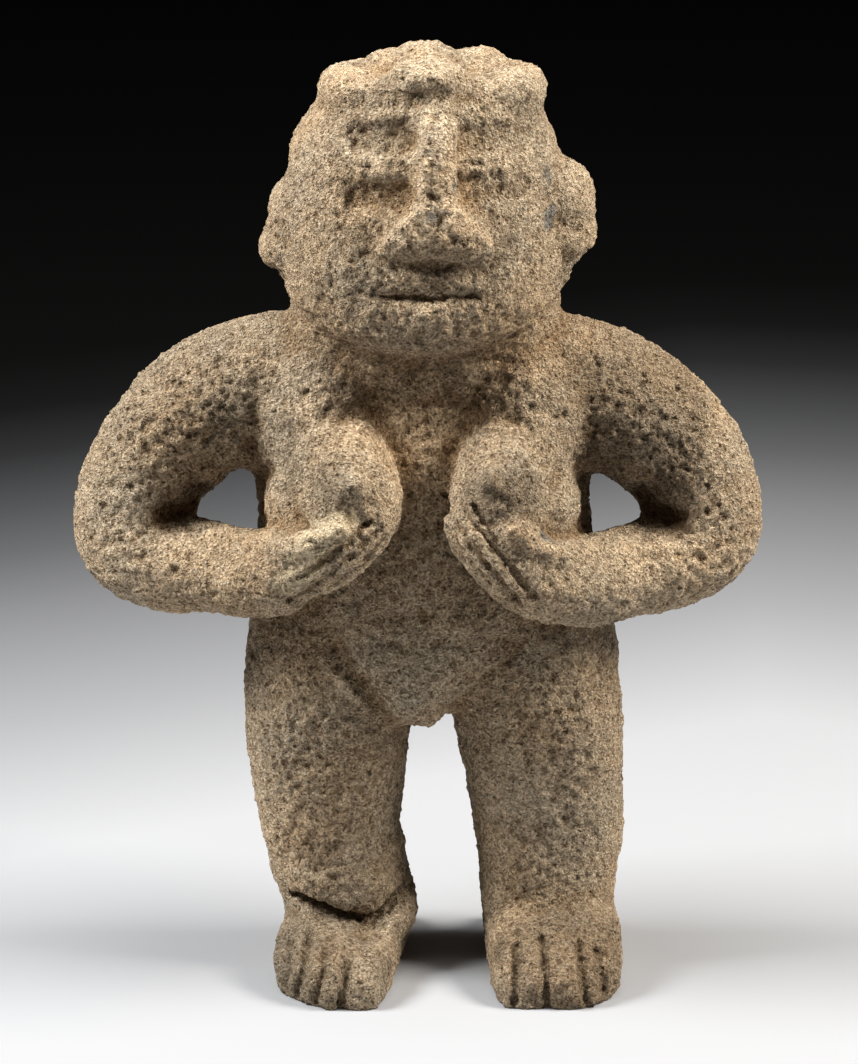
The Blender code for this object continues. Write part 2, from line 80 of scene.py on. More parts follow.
def finish_with(piece, kind, **settings):
    """Adds a modifier to the piece, sets it, and applies it."""
    take(piece)
    bpy.ops.object.modifier_add(type=kind)
    modifier = piece.modifiers[-1]
    for name, value in settings.items():
        setattr(modifier, name, value)
    bpy.ops.object.modifier_apply(modifier=modifier.name)


print("nodes in the frame:", list(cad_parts))

# %% Copy the solid and close its skin
MERGE_GAP = 0.01 * MM
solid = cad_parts["stone_figure"]
figure = bpy.data.objects.new("carved_figure", solid.data.copy())
bpy.context.scene.collection.objects.link(figure)
take(figure)
bpy.ops.object.mode_set(mode="EDIT")
bpy.ops.mesh.select_all(action="SELECT")
bpy.ops.mesh.remove_doubles(threshold=MERGE_GAP)
bpy.ops.mesh.normals_make_consistent(inside=False)
bpy.ops.object.mode_set(mode="OBJECT")
print("points of the solid:", len(figure.data.vertices))

# %% Spread small faces and rub the facets away
VOXEL = 0.75 * MM
RUBBINGS = 14
RUBBING_STRENGTH = 0.5
# Rubbing shrinks the stone a little, so the skin is moved out again by this much
MOVED_OUT = 0.22 * MM
finish_with(figure, "REMESH", mode="VOXEL", voxel_size=VOXEL)
finish_with(figure, "SMOOTH", iterations=RUBBINGS, factor=RUBBING_STRENGTH)
finish_with(figure, "DISPLACE", strength=MOVED_OUT, mid_level=0.0)
print("skin points:", len(figure.data.vertices))

# %% [markdown]
# ## Random numbers that stay put
# Stone is random, but a script has to give the same stone each time. So each random number
# here is worked out from a place: the place is cut into cells, and a cell's three whole
# numbers are stirred into a fraction. Noise blends those fractions between cells, for slow
# changes such as a wavering chisel line.

# %% Noise in space
PRIMES = (73856093, 19349663, 83492791, 2654435761)
STIRRER = 0x45D9F3B
LARGEST = 0xFFFFFFFF


def stir(cells, seed):
    """A fraction from 0 to 1 for each row of three whole numbers."""
    mixed = seed * PRIMES[3]
    for axis in range(3):
        mixed = mixed ^ cells[:, axis] * PRIMES[axis]
    mixed = mixed & LARGEST
    for _ in range(2):
        mixed = (mixed ^ (mixed >> 16)) * STIRRER & LARGEST
    mixed ^= mixed >> 16
    return mixed / LARGEST


def noise(points, size, seed):
    """Smooth noise from 0 to 1, with bumps about one size apart."""
    place = points / size
    cells = np.floor(place).astype(np.int64)
    along = place - cells
    along = along * along * (3 - 2 * along)
    total = np.zeros(len(points))
    for corner in itertools.product((0, 1), repeat=3):
        share = np.prod(np.where(corner, along, 1 - along), axis=1)
        total += share * stir(cells + corner, seed)
    return total


def fade(gap, start, end):
    """1 up to start, 0 past end, and a smooth slope between them."""
    share = np.clip((end - gap) / (end - start), 0, 1)
    return share * share * (3 - 2 * share)


print("noise at the origin:", round(float(noise(np.zeros((1, 3)), 1.0, 1)[0]), 3))

# %% [markdown]
# ## Chisel lines
# Fingers, toes, mouth and the bars of the eyes are grooves. The edges of the nose, the flanks
# of the breasts, the hollows above the wrists and the rim of the shield are raised a little.
# All are drawn as lines on the front, in millimetres across and up. Each line is laid on the
# stone by rays, and the skin near it is pushed in or out along its own normal. The width wavers
# with the noise, as a stone tool does in coarse stone.

# %% Read and move the skin's points
def points_of(piece):
    """The piece's points as rows of three numbers."""
    rows = np.empty(len(piece.data.vertices) * 3)
    piece.data.vertices.foreach_get("co", rows)
    return rows.reshape(-1, 3)


def normals_of(piece):
    """The direction in which the skin faces at each point."""
    rows = np.empty(len(piece.data.vertices) * 3)
    piece.data.vertices.foreach_get("normal", rows)
    return rows.reshape(-1, 3)


def move_to(piece, points):
    """Puts the piece's points in new places."""
    piece.data.vertices.foreach_set("co", points.ravel())
    piece.data.update()


print("lowest point, in mm:", round(float(points_of(figure)[:, 2].min()) / MM, 2))


# %% Lay a line on the skin
LINE_STEP = 2.0
RAY_START = -0.3


def skin_tree(piece):
    """A search tree of the skin, which a ray can be shot at."""
    faces = [tuple(face.vertices) for face in piece.data.polygons]
    return BVHTree.FromPolygons([tuple(row) for row in points_of(piece)], faces)


def lay_on(skin_rays, line):
    """The line's (across, up) points in mm, laid on the skin from the front."""
    laid = []
    for across, up in line:
        start = Vector((across * MM, RAY_START, up * MM))
        spot = skin_rays.ray_cast(start, Vector((0, 1, 0)))[0]
        if spot is not None:
            laid.append(spot)
    return np.array(laid)


def spread(line):
    """The line with more points on it, one every few millimetres."""
    line = np.array(line, dtype=float)
    rows = [line[:1]]
    for start, end in zip(line, line[1:]):
        parts = max(1, int(np.ceil(np.linalg.norm(end - start) / LINE_STEP)))
        shares = np.arange(1, parts + 1)[:, None] / parts
        rows.append(start + (end - start) * shares)
    return np.vstack(rows)


skin_rays = skin_tree(figure)
chest = lay_on(skin_rays, [(4, 200)])[0]
print("rays reach the chest at", [round(value / MM, 1) for value in chest])


# %% Push a groove in
WAVER = 0.25
WAVER_SIZE = 3 * MM
SEARCH_MARGIN = 1.5


def gap_to(points, line):
    """The distance from each point to a line through laid points."""
    nearest = np.full(len(points), np.inf)
    for start, end in zip(line, line[1:]):
        run = end - start
        along = np.clip((points - start) @ run / (run @ run), 0, 1)
        gap = np.linalg.norm(points - start - along[:, None] * run, axis=1)
        nearest = np.minimum(nearest, gap)
    return nearest


def cut(points, normals, skin_rays, line, width, bed, depth):
    """Cuts a groove of a half width and depth in mm. A negative depth raises a ridge."""
    laid = lay_on(skin_rays, spread(line))
    low = laid.min(axis=0) - width * MM * SEARCH_MARGIN
    high = laid.max(axis=0) + width * MM * SEARCH_MARGIN
    near = np.flatnonzero(np.all((points > low) & (points < high), axis=1))
    some = points[near]
    gap = gap_to(some, laid)
    gap *= 1 + WAVER * (2 * noise(some, WAVER_SIZE, 5) - 1)
    points[near] -= normals[near] * (depth * MM * fade(gap, bed * MM, width * MM))[:, None]


print("a groove's width wavers by up to", round(100 * WAVER), "%")

# %% Cut the grooves
# Each groove is (half width, bed, depth, lines), in mm. A line runs through (across, up) points.
GROOVES = {
    "fingers": (1.3, 0.1, 1.3, (
        ((-37, 145.5), (-33.4, 148.7), (-25.8, 155.1), (-14.5, 164.5)),
        ((-41, 135.5), (-31.5, 143.5), (-23, 151.5), (-12.3, 161)),
        ((-37, 131), (-29, 139.5), (-20, 147.5), (-10.5, 157)),
        ((8.7, 167), (10.7, 164.7), (21.4, 152.1), (33, 136.3)),
        ((13.5, 169.5), (26.2, 154.7), (38.1, 138.4)),
        ((9, 161), (19.5, 147.5), (29, 134.5)),
        ((17.9, 169.4), (20.5, 165.2), (25, 158.5)),
    )),
    "toes": (1.6, 0.2, 0.8, (
        ((-42.4, 16), (-43.4, 3)),
        ((-35.9, 18.5), (-39.9, 1.5)),
        ((-30.4, 15.5), (-33.4, 1)),
        ((-22.9, 14), (-25.4, 1)),
        ((32.1, 17), (31.7, 2)),
        ((40.9, 19), (42.4, 1)),
        ((53.1, 18), (54.6, 2)),
        ((59.1, 16), (61.6, 4)),
    )),
    "mouth": (1.0, 0.1, 0.45, (((-12, 235.5), (3, 235.1), (18, 235.5)),)),
    "eye bars": (1.2, 0.2, 0.5, (
        ((-23, 277.2), (-14, 276.4), (-4, 277)),
        ((13, 278), (22, 277.2), (32, 277.6)),
    )),
    "edges of the nose": (1.6, 0.3, -0.7, (
        ((2.2, 290), (2.4, 278), (2.2, 266), (-1, 261.5), (-7, 257.5), (-11.5, 250)),
        ((11.6, 290), (11.4, 274), (12, 265), (18, 259), (23, 250.5)),
    )),
    "flanks of the breasts": (8.5, 1.0, -2.2, (
        ((-33, 191), (-38, 183), (-42, 175)),
        ((37, 191), (42, 183), (46, 176)),
    )),
    "hollows above the wrists": (6.0, 0.5, -1.6, (
        ((-49, 155), (-42, 155.5), (-36, 158)),
        ((43, 154), (49, 152.5)),
    )),
    "rim of the shield": (2.6, 0.4, -0.9, (
        ((-31, 112), (-22, 101), (-13, 91.5), (-6, 88)),
        ((28, 115), (17, 104), (8, 94), (3, 88)),
    )),
}
points, normals = points_of(figure), normals_of(figure)
for name, (width, bed, depth, lines) in GROOVES.items():
    for line in lines:
        cut(points, normals, skin_rays, line, width, bed, depth)
    print("cut", len(lines), name)
move_to(figure, points)

# %% [markdown]
# ## Coarse and fine stone
# The real block is coarser on the shoulders, elbows and thighs than on the face and the
# breasts. A table of round places says where, and a function blends between them. Both the
# waves and the pits below ask it how strong they may be.

# %% Say where the stone is coarse
# Where the stone is coarser, as (place, reach, share) in mm
COARSE = (
    ((75, 0, 190), 45, 1.0),
    ((-75, 0, 185), 45, 1.0),
    ((10, -30, 205), 40, 0.6),
    ((-35, -35, 235), 28, 0.6),
    ((95, 0, 150), 35, 0.6),
    ((-95, 0, 150), 35, 0.5),
    ((-45, -10, 80), 45, 0.5),
    ((45, -10, 90), 45, 0.5),
)


PLAIN_SHARE = 0.25
CORE = 0.3


def coarseness(points):
    """How coarse the stone is at each point, from 0 to 1."""
    coarse = PLAIN_SHARE * np.ones(len(points))
    for place, reach, amount in COARSE:
        gap = np.linalg.norm(points - np.array(place) * MM, axis=1)
        coarse = np.maximum(coarse, amount * fade(gap, CORE * reach * MM, reach * MM))
    return coarse


print("mean coarseness:", round(float(coarseness(points_of(figure)).mean()), 2))

# %% [markdown]
# ## Waves
# The block was dressed by pecking, so its surface rises and falls by a fraction of a millimetre
# over a finger's width. Displace modifiers with cloud textures give that. A vertex group makes
# them weaker where the stone is finer, so that the eyes and the mouth stay clear.

# %% Let the surface rise and fall
# Each wave is (name, size, height, contrast), with size and height in mm
WAVES = (
    ("broad waves", 20, 1.2, 1.0),
    ("pecking", 7, 1.0, 1.0),
    ("crumbs", 3.6, 1.0, 2.0),
    ("grit", 2.0, 0.8, 2.0),
)
STEPS = 8
LEAST_ROUGH = 0.65
rough = figure.vertex_groups.new(name="rough")
share = LEAST_ROUGH + (1 - LEAST_ROUGH) * coarseness(points_of(figure))
steps = np.round(STEPS * share).astype(int)
for step in np.unique(steps):
    rough.add(np.flatnonzero(steps == step).tolist(), step / STEPS, "REPLACE")
for name, size, height, contrast in WAVES:
    clouds = bpy.data.textures.new(name, "CLOUDS")
    clouds.noise_scale = size * MM
    clouds.noise_depth = 2
    clouds.contrast = contrast
    finish_with(
        figure,
        "DISPLACE",
        texture=clouds,
        strength=height * MM,
        mid_level=0.5,
        vertex_group="rough",
    )
print("waves:", [wave[0] for wave in WAVES])

# %% [markdown]
# ## Pits
# The pits are the bubbles of the lava, cut open at the surface. Each one is a small ball in a
# cell of space, and where the skin meets a ball it is pushed in as deep as the ball reaches.
# Real holes catch the light from every side and roughen the outline, which a bump in the
# material can't do.


# %% Reach of the bubbles
def pit_depth(points, cell, radius, share, seed, tall):
    """How deep the bubbles reach at each point, in metres. Tall is height over width."""
    place = points / (1.0, 1.0, tall)
    home = np.floor(place / cell).astype(np.int64)
    deepest = np.zeros(len(points))
    for step in itertools.product((-1, 0, 1), repeat=3):
        cells = home + step
        centre = cells + np.stack([stir(cells, seed + axis) for axis in range(3)], axis=1)
        ball = radius * (0.55 + 0.9 * stir(cells, seed + 3))
        ball = np.where(stir(cells, seed + 4) < share, ball, 0)
        gap = np.linalg.norm(place - centre * cell, axis=1)
        reach = np.sqrt(np.clip(ball * ball - gap * gap, 0, None))
        deepest = np.maximum(deepest, reach)
    return deepest


middle = np.array([[0.0, 0.0, 0.15]])
print("a pit at the middle, in mm:", pit_depth(middle, 2 * MM, MM, 1.0, 1, 1.0) / MM)

# %% Open the pits
# The pits' rims are ragged, by this much and over this size
RAGGED_BY = 0.55 * MM
RAGGED_SIZE = 1.3 * MM
points, normals = points_of(figure), normals_of(figure)
coarse = coarseness(points)
ragged = points + RAGGED_BY * np.stack(
    [2 * noise(points, RAGGED_SIZE, 31 + axis) - 1 for axis in range(3)], axis=1
)
fine_pits = pit_depth(ragged, 1.5 * MM, 0.6 * MM, 0.75, 11, 1.0)
middle_pits = pit_depth(ragged, 2.4 * MM, 0.95 * MM, 0.6, 17, 1.2)
large_pits = pit_depth(ragged, 4.6 * MM, 1.3 * MM, 0.5, 23, 1.25)
depth = np.maximum(0.8 * fine_pits, middle_pits * (0.45 + 0.55 * coarse))
depth = np.maximum(depth, 0.55 * large_pits * coarse)
move_to(figure, points - normals * depth[:, None])
print("deepest pit, in mm:", round(float(depth.max()) / MM, 2))

# %% [markdown]
# ## Fewer faces where the stone is plain
# A skin of small even faces is wasteful. Decimate takes faces away where the skin bends least,
# so the pits keep theirs. Then the points are held inside the solid's box, so that the stone
# keeps the size of the solid and its soles stay flat on the ground.

# %% Thin out the skin
FACES = 190000
finish_with(figure, "TRIANGULATE")
ratio = FACES / len(figure.data.polygons)
finish_with(figure, "DECIMATE", ratio=ratio)
points = np.clip(points_of(figure), cad_box[0], cad_box[1])
move_to(figure, points)
bpy.ops.object.shade_smooth()
print("triangles:", len(figure.data.polygons))

# %% [markdown]
# ## Hollows that the material can read
# The material paints shade into hollows and paints paler what stands proud. To find them, the
# skin is evened out: each point is moved towards its neighbours a few times. How far a point lies
# below the evened skin tells how deep its hollow is. A few passes find the pits, and many find the
# large
# hollows, such as those beside the nose. The result is kept on the points, as attributes.


# %% Even out the skin
def even_out(values, ends, passes):
    """Each point's value shared with its neighbours, as often as asked."""
    count = len(values)
    neighbours = np.bincount(ends.ravel(), minlength=count).astype(float)
    for _ in range(passes):
        total = np.zeros_like(values)
        for axis in range(values.shape[1]):
            total[:, axis] = np.bincount(ends[:, 0], values[ends[:, 1], axis], count)
            total[:, axis] += np.bincount(ends[:, 1], values[ends[:, 0], axis], count)
        values = 0.5 * values + 0.5 * total / neighbours[:, None]
    return values


PIT_PASSES = 8
FORM_PASSES = 60
ends = np.empty(len(figure.data.edges) * 2, dtype=np.int64)
figure.data.edges.foreach_get("vertices", ends)
ends = ends.reshape(-1, 2)
points, normals = points_of(figure), normals_of(figure)
near_form = even_out(points, ends, PIT_PASSES)
far_form = even_out(near_form, ends, FORM_PASSES)
hollow_near = np.sum((near_form - points) * normals, axis=1) / MM
hollow_far = np.sum((far_form - near_form) * normals, axis=1) / MM
print("deepest hollow, in mm:", round(float(hollow_far.max()), 2))

# %% [markdown]
# ## Painted light and shade
# Some parts of the stone are painted darker, as shade, and others paler, as light. A table of
# round places with ragged edges says by how much. It changes the stone's colour and nothing else.

# %% Say where light and shade are painted on the stone
# Where shade is painted darker on the stone, or light paler, as (place, reach, change)
PAINTED_LIGHTING = (
    # Painted shade: the tops of the feet, the elbow crooks, the breasts, the shoulders and the
    # upper arms are darkened
    ((-40, -35, 12), 42, -0.48),
    ((47, -35, 12), 42, -0.5),
    ((-76, -8, 161), 13, -0.45),
    ((80, -8, 160), 13, -0.45),
    ((-28, -45, 178), 24, -0.24),
    ((27, -45, 178), 24, -0.46),
    ((-80, 0, 195), 42, -0.16),
    ((70, 0, 195), 42, -0.34),
    ((92, 0, 165), 30, -0.1),
    # Painted light: the groin, chin, face, hands, forearms, chest, belly and thighs are made paler,
    # lifting their shade
    ((-22, -27, 103), 10, 0.25),
    ((3, -40, 228), 20, 0.2),
    ((3, -32, 277), 30, 0.2),
    ((-12, -30, 272), 16, 0.12),
    ((-26, -40, 148), 18, 0.12),
    ((27, -40, 145), 20, 0.12),
    ((-78, -15, 141), 30, 0.2),
    ((80, -15, 140), 30, 0.22),
    ((-26, -22, 202), 17, 0.3),
    ((24, -22, 203), 17, 0.3),
    ((0, -25, 190), 25, 0.25),
    ((0, -30, 125), 42, 0.15),
    ((35, -25, 60), 35, 0.12),
    # Painted shade on the outer side of one thigh
    ((68, 0, 70), 35, -0.1),
    # Painted light on the other thigh
    ((-45, -10, 60), 40, 0.12),
)


def painted_lighting_share(points):
    """The painted light and shade at each point: 1 is plain stone, more is paler, less is darker.
    """
    share = np.ones(len(points))
    for place, reach, amount in PAINTED_LIGHTING:
        gap = np.linalg.norm(points - np.array(place) * MM, axis=1)
        gap *= 1 + 0.5 * (2 * noise(points, 9 * MM, 41) - 1)
        share += amount * fade(gap, CORE * reach * MM, reach * MM)
    return share


print("worn places:", len(PAINTED_LIGHTING))

# %% [markdown]
# ## Crusts and other minerals
# A cream crust clings to one hand, and the stone holds blue-grey and rusty spots. Each is a
# colour with a few round places. Noise makes their edges ragged, as a crust's are.

# %% Say where the crusts are
# Each is (colour, places with their reaches), with places in mm
STAINS = {
    "cream crust": ((0.84, 0.71, 0.50), (
        ((-22, -41, 165), 5), ((-28, -41, 162), 5.5), ((-33, -40, 162), 6),
        ((-33, -40, 155), 7), ((-37, -38, 149), 6.5), ((-41, -36, 143), 5.5),
    )),
    "dark nipples": ((0.15, 0.125, 0.1), (((-22, -50, 175), 2.8), ((24.5, -49, 176), 3))),
    "blue-grey stone": ((0.17, 0.18, 0.18), (
        ((42.8, -16, 271), 3.2), ((42.8, -18.5, 258), 4.2), ((41, -36, 158), 3.5),
        ((5, -43, 263), 2.5), ((12, -36, 271), 2),
    )),
    "rust": ((0.42, 0.24, 0.12), (
        ((-22, -22, 202), 2.6), ((-30, -20, 208), 2), ((40, -20, 60), 2.5),
    )),
}


def stains(points):
    """The colour of the crusts at each point, and how much they cover: rows of four numbers."""
    rows = np.zeros((len(points), 4))
    ragged = 0.6 * noise(points, 2.2 * MM, 51) + 0.5 * noise(points, 5 * MM, 53)
    for colour, places in STAINS.values():
        cover = np.zeros(len(points))
        for place, reach in places:
            gap = np.linalg.norm(points - np.array(place) * MM, axis=1) / (reach * MM)
            cover = np.maximum(cover, fade(gap + ragged - 0.55, 0.75, 1.1))
        rows[cover > rows[:, 3], :3] = colour
        rows[:, 3] = np.maximum(rows[:, 3], cover)
    return rows


print("crusts:", list(STAINS))

# %% Keep it all on the points
for name, values in (
    ("pit", hollow_near),
    ("recess", hollow_far),
    ("coarse", coarseness(points)),
    ("painted_lighting", painted_lighting_share(points)),
):
    attribute = figure.data.attributes.new(name, "FLOAT", "POINT")
    attribute.data.foreach_set("value", values)
    print(name, "from", round(float(values.min()), 2), "to", round(float(values.max()), 2))

attribute = figure.data.attributes.new("stain", "FLOAT_COLOR", "POINT")
attribute.data.foreach_set("color", stains(points).ravel())
print("attributes:", [attribute.name for attribute in figure.data.attributes])

# %% [markdown]
# ## The stone's material
# A material is a tree of nodes: patterns go in on the left, and the surface comes out on the
# right. All patterns here are worked out in space, so the stone needs no picture laid over it
# and has no seams. A few helpers place and link the nodes, which keeps each step short.

# %% Start the stone's material
stone = bpy.data.materials.new("pitted_lava")
stone.use_nodes = True
tree = stone.node_tree
shader = tree.nodes["Principled BSDF"]
shader.inputs["Roughness"].default_value = 0.9
shader.inputs["Specular IOR Level"].default_value = 0.25
print("material:", stone.name)


# %% Helpers that place and link nodes
def node(kind, **settings):
    """A new shader node. A setting is an input by its name, or else a property."""
    new = tree.nodes.new("ShaderNode" + kind)
    for name, value in settings.items():
        if name in new.inputs:
            new.inputs[name].default_value = value
        else:
            setattr(new, name, value)
    return new


def join(source, target):
    """Links an output socket to an input socket."""
    tree.links.new(source, target)


def join_or_set(value, socket):
    """Joins a socket to the input, or sets the input to a number or colour."""
    if hasattr(value, "links"):
        join(value, socket)
    else:
        socket.default_value = value


place = node("TexCoord").outputs["Object"]
print("nodes so far:", len(tree.nodes))


# %% Helpers for colours
def ramp(source, *stops):
    """A colour ramp on a value. A stop is (position, colour)."""
    new = node("ValToRGB")
    join(source, new.inputs["Fac"])
    elements = new.color_ramp.elements
    while len(elements) < len(stops):
        elements.new(0.5)
    for element, (position, colour) in zip(elements, stops):
        element.position = position
        element.color = (*colour, 1.0)
    return new.outputs["Color"]


def blend(kind, share, under, over):
    """One colour over another. The share is a number or a socket."""
    new = node("Mix", data_type="RGBA", blend_type=kind)
    join_or_set(share, new.inputs[0])
    join_or_set(under, new.inputs[6])
    join_or_set(over, new.inputs[7])
    return new.outputs[2]


print("colour helpers:", ramp.__name__, blend.__name__)


# %% Helpers for patterns and sums
def noise_at(scale, detail, roughness=0.6):
    """Cloudy noise from 0 to 1, with about this many bumps in a metre."""
    new = node("TexNoise", Scale=scale, Detail=detail, Roughness=roughness)
    join(place, new.inputs["Vector"])
    return new.outputs["Fac"]


def calc(operation, first, second=0.0, third=0.0):
    """A sum on values. Each is a number or a socket."""
    new = node("Math", operation=operation)
    for value, socket in zip((first, second, third), new.inputs):
        join_or_set(value, socket)
    return new.outputs[0]


def slope(value, start, end, low=0.0, high=1.0):
    """Maps start..end to low..high, smoothly, and holds it there."""
    new = node("MapRange", interpolation_type="SMOOTHSTEP")
    join(value, new.inputs["Value"])
    for name, number in (("From Min", start), ("From Max", end), ("To Min", low), ("To Max", high)):
        new.inputs[name].default_value = number
    return new.outputs["Result"]


print("pattern helpers:", noise_at.__name__, calc.__name__, slope.__name__)

# %% [markdown]
# ## Pores and creases
# Voronoi cells are too round and even for lava. So their places are shifted by a fine noise
# first. A pore is the middle of a cell, and a crease is its rim. Pores of three sizes and
# creases of two are added up to one depth, and fine grit is added to give the height.

# %% Shift the places a little
SHIFT = 1.3 * MM
shift = node("TexNoise", Scale=750.0, Detail=2.0)
join(place, shift.inputs["Vector"])
warp = node("VectorMath", operation="MULTIPLY_ADD")
join(shift.outputs["Color"], warp.inputs[0])
warp.inputs[1].default_value = (SHIFT, SHIFT, SHIFT)
join(place, warp.inputs[2])
print("shifted by up to", round(SHIFT / MM, 1), "mm")


# %% Add up the pores and creases
def pores_at(scale, variety):
    """Bubbles of many sizes, in cells of one size: 1 in a bubble, 0 on the stone around it."""
    bubbles = node("TexVoronoi", Scale=scale)
    join(warp.outputs["Vector"], bubbles.inputs["Vector"])
    chance = node("SeparateColor")
    join(bubbles.outputs["Color"], chance.inputs["Color"])
    reach = calc("MULTIPLY_ADD", chance.outputs["Red"], variety, bubbles.outputs["Distance"])
    return slope(reach, 0.22, 0.55, 1.0, 0.0)


def creases_at(scale, start, end):
    """The creases between grains of one size: 0 on a grain, 1 in the crease around it."""
    lumps = node("TexVoronoi", Scale=scale)
    join(warp.outputs["Vector"], lumps.inputs["Vector"])
    return slope(lumps.outputs["Distance"], start, end)


coarse = node("Attribute", attribute_name="coarse").outputs["Fac"]
large_pores = calc("MULTIPLY", pores_at(450.0, 0.5), slope(coarse, 0.1, 0.9, 0.45, 1.0))
small_pores = pores_at(850.0, 0.45)
tiny_pores = pores_at(1450.0, 0.4)
grit = noise_at(1100.0, 4.0, 0.7)
depth = calc("MULTIPLY_ADD", small_pores, 0.6, calc("MULTIPLY", large_pores, 0.8))
depth = calc("MULTIPLY_ADD", tiny_pores, 0.35, depth)
creases = calc("MULTIPLY_ADD", creases_at(560.0, 0.2, 0.75), 0.35, creases_at(1000.0, 0.2, 0.7))
depth = calc("MULTIPLY_ADD", creases, 0.3, depth)
height = calc("MULTIPLY_ADD", grit, 1.6, calc("MULTIPLY", depth, -1.0))
print("nodes so far:", len(tree.nodes))

# %% [markdown]
# ## The stone's colours
# The lava is a grey-brown paste full of small grains: cream feldspar, dark pyroxene, and rust
# where iron has weathered. Voronoi cells make good grains, one colour to a cell. Shade is
# painted into the hollows measured above and into the pores, and what stands proud is painted
# paler.

# %% Colour the paste
broad = noise_at(26.0, 3.0)
patch = noise_at(120.0, 3.0)
# The paste's colour follows the grit: it is darker in the grit's low crevices, as painted shade,
# and paler on the raised grains
skin = ramp(
    grit,
    (0.32, (0.2, 0.156, 0.106)),
    (0.48, (0.54, 0.446, 0.326)),
    (0.68, (0.725, 0.613, 0.464)),
)
tint = ramp(broad, (0.35, (0.94, 0.96, 0.98)), (0.65, (1.06, 0.97, 0.87)))
colour = blend("MULTIPLY", 1.0, skin, tint)
tone = ramp(patch, (0.3, (0.87, 0.86, 0.85)), (0.7, (1.1, 1.1, 1.1)))
colour = blend("MULTIPLY", 1.0, colour, tone)
print("nodes so far:", len(tree.nodes))

# %% Scatter the grains
grains = node("TexVoronoi", Scale=1500.0)
join(place, grains.inputs["Vector"])
grain_tone = node("SeparateColor")
join(grains.outputs["Color"], grain_tone.inputs["Color"])
pale_grain = slope(grain_tone.outputs["Red"], 0.84, 0.95, 0.0, 0.55)
dark_grain = slope(grain_tone.outputs["Green"], 0.88, 0.96, 0.0, 0.5)
rust_grain = slope(grain_tone.outputs["Blue"], 0.88, 0.95, 0.0, 0.5)
colour = blend("MIX", pale_grain, colour, (0.60, 0.54, 0.44, 1))
colour = blend("MIX", dark_grain, colour, (0.11, 0.085, 0.062, 1))
colour = blend("MIX", rust_grain, colour, (0.33, 0.20, 0.11, 1))
print("nodes so far:", len(tree.nodes))

# %% Lay the crusts and paint shade into the hollows
# Painted shade in the pores and creases: the deeper, the darker
painted_pore_shade = ramp(
    depth,
    (0.0, (1.2, 1.2, 1.19)),
    (0.4, (0.78, 0.73, 0.665)),
    (1.0, (0.41, 0.33, 0.245)),
)
stain = node("Attribute", attribute_name="stain")
stain_share = calc("MULTIPLY", stain.outputs["Alpha"], slope(grit, 0.3, 0.55, 0.45, 0.9))
colour = blend("MIX", stain_share, colour, stain.outputs["Color"])
colour = blend("MULTIPLY", 1.0, colour, painted_pore_shade)
pit = node("Attribute", attribute_name="pit").outputs["Fac"]
recess = node("Attribute", attribute_name="recess").outputs["Fac"]
# Painted shade in the pits of the skin, and paler colour where the skin stands proud
painted_pit_shade = ramp(
    slope(pit, -0.5, 0.7),
    (0.0, (1.18, 1.17, 1.15)),
    (0.42, (1, 1, 1)),
    (1.0, (0.84, 0.79, 0.72)),
)
# Painted shade in the large hollows, such as beside the nose, and paler colour on the swellings
painted_recess_shade = ramp(
    slope(recess, -1.2, 1.6),
    (0.0, (1.12, 1.12, 1.12)),
    (0.43, (1, 1, 1)),
    (1.0, (0.87, 0.8, 0.71)),
)
colour = blend("MULTIPLY", 1.0, colour, painted_pit_shade)
colour = blend("MULTIPLY", 1.0, colour, painted_recess_shade)
print("nodes so far:", len(tree.nodes))

# %% Finish the stone
BUMP_DEPTH = 1.2 * MM
# The colour is scaled by the painted light and shade from the table of places
painted_lighting = node("VectorMath", operation="SCALE")
join(colour, painted_lighting.inputs[0])
join(node("Attribute", attribute_name="painted_lighting").outputs["Fac"], painted_lighting.inputs["Scale"])
join(painted_lighting.outputs["Vector"], shader.inputs["Base Color"])
bump = node("Bump", Strength=1.0, Distance=BUMP_DEPTH)
join(height, bump.inputs["Height"])
join(bump.outputs["Normal"], shader.inputs["Normal"])
figure.data.materials.clear()
figure.data.materials.append(stone)
print("stone nodes:", len(tree.nodes))

# %% [markdown]
# ## The paper
# The figure stands on pale paper, and shade is painted on it: its colour is pale in a painted
# pool of light near the figure and painted darker the further behind the figure a point lies. One
# wide disc is enough. The painted shade is slanted a little, as the shade in the photograph is.

# %% Lay the floor
FLOOR_RADIUS = 6.0
bpy.ops.object.select_all(action="DESELECT")
bpy.ops.mesh.primitive_circle_add(vertices=96, radius=FLOOR_RADIUS, fill_type="NGON")
floor = bpy.context.object
floor.name = "pale_floor"
print("floor radius:", FLOOR_RADIUS, "m")

# %% Colour the paper
SLANT = -0.6
FALL_OFF = 1.2
paper = bpy.data.materials.new("paper_with_painted_shade")
paper.use_nodes = True
tree = paper.node_tree
shader = tree.nodes["Principled BSDF"]
shader.inputs["Roughness"].default_value = 0.8
shader.inputs["Specular IOR Level"].default_value = 0.1
place = node("TexCoord").outputs["Object"]
axes = node("SeparateXYZ")
join(place, axes.inputs["Vector"])
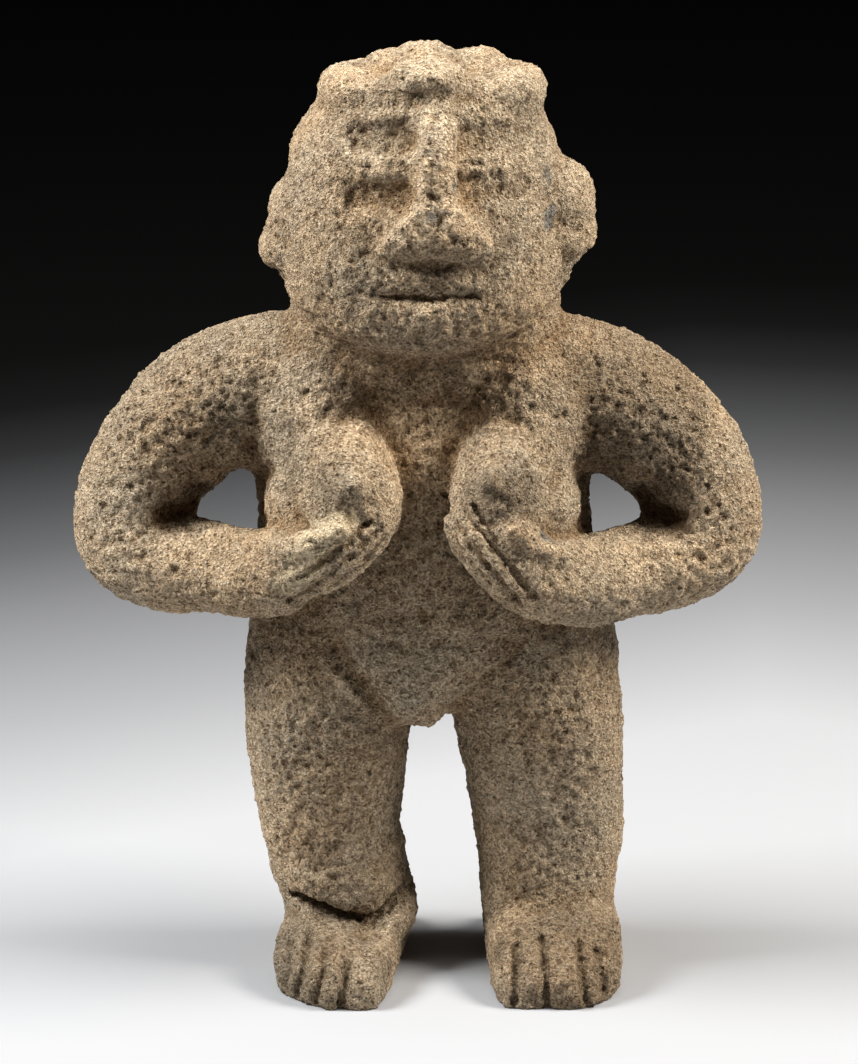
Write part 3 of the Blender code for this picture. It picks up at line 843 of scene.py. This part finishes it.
# Painted shade: the paper darkens with the distance behind the figure, slanted to one side; a
# painted pool of light keeps it pale near the feet
behind = calc("MULTIPLY_ADD", axes.outputs["X"], SLANT, axes.outputs["Y"])
painted_light_pool = node("VectorMath", operation="DISTANCE")
join(place, painted_light_pool.inputs[0])
painted_light_pool.inputs[1].default_value = (0.05, 0.05, 0.0)
away = calc("MAXIMUM", behind, calc("SUBTRACT", painted_light_pool.outputs["Value"], 0.05))
painted_paper_shade = ramp(
    calc("DIVIDE", away, FALL_OFF),
    (0.16, (0.385, 0.397, 0.42)),
    (0.30, (0.262, 0.271, 0.288)),
    (0.44, (0.168, 0.174, 0.186)),
    (0.53, (0.097, 0.101, 0.108)),
    (0.60, (0.062, 0.065, 0.07)),
    (0.70, (0.022, 0.023, 0.025)),
    (0.79, (0.0065, 0.0065, 0.0068)),
    (0.90, (0.002, 0.002, 0.002)),
)
join(painted_paper_shade, shader.inputs["Base Color"])
floor.data.materials.append(paper)
print("paper nodes:", len(tree.nodes))

# %% [markdown]
# ## The lights
# Two soft lights stand high at the sides, so the middle of the figure falls into half shade
# and the grain throws small shadows. A weak one hangs above. The right one is a little warmer.

# %% Set the lights
# Each light is (name, place, size in metres, power in watts, colour)
middle = Vector((0, 0, 0.16))
LIGHTS = (
    ("left_softbox", (-0.85, -0.12, 0.95), 0.45, 24.5, (1.0, 0.985, 0.96)),
    ("right_softbox", (0.85, -0.12, 0.9), 0.45, 22.3, (1.0, 0.94, 0.86)),
    ("top_light", (0.0, -0.1, 1.15), 0.5, 5.0, (1.0, 0.99, 0.97)),
)
for name, spot, size, power, tint in LIGHTS:
    lamp = bpy.data.lights.new(name, "AREA")
    lamp.size = size
    lamp.energy = power
    lamp.color = tint
    stand = bpy.data.objects.new(name, lamp)
    bpy.context.scene.collection.objects.link(stand)
    stand.location = spot
    stand.rotation_euler = (middle - Vector(spot)).to_track_quat("-Z", "Y").to_euler()
    print(name, power, "W")

# %% Darken the room
world = bpy.data.worlds.new("studio")
bpy.context.scene.world = world
world.use_nodes = True
world.node_tree.nodes["Background"].inputs["Color"].default_value = (0.015, 0.015, 0.017, 1)
bpy.context.scene.view_settings.view_transform = "Standard"
print("view:", bpy.context.scene.view_settings.view_transform)

# %% [markdown]
# ## The camera
# The distance, height and lens were found by fitting the figure's outline to the photograph's.
# The camera looks down a little, so that the tops of the feet show, and it has a long lens.

# %% Point the camera
DISTANCE = 1.3
ELEVATION = math.radians(15)
AIM = Vector((0.0037, 0.0008, 0.15))
lens = bpy.data.cameras.new("camera")
lens.lens = 134.45
camera = bpy.data.objects.new("camera", lens)
bpy.context.scene.collection.objects.link(camera)
back = Vector((0, -math.cos(ELEVATION), math.sin(ELEVATION)))
camera.location = AIM + back * DISTANCE
camera.rotation_euler = (-back).to_track_quat("-Z", "Y").to_euler()
bpy.context.scene.camera = camera
print("camera at", [round(value, 3) for value in camera.location])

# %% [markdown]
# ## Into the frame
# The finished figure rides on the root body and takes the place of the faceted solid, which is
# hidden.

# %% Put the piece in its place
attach(figure, "root")
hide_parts("stone_figure")
take(figure)
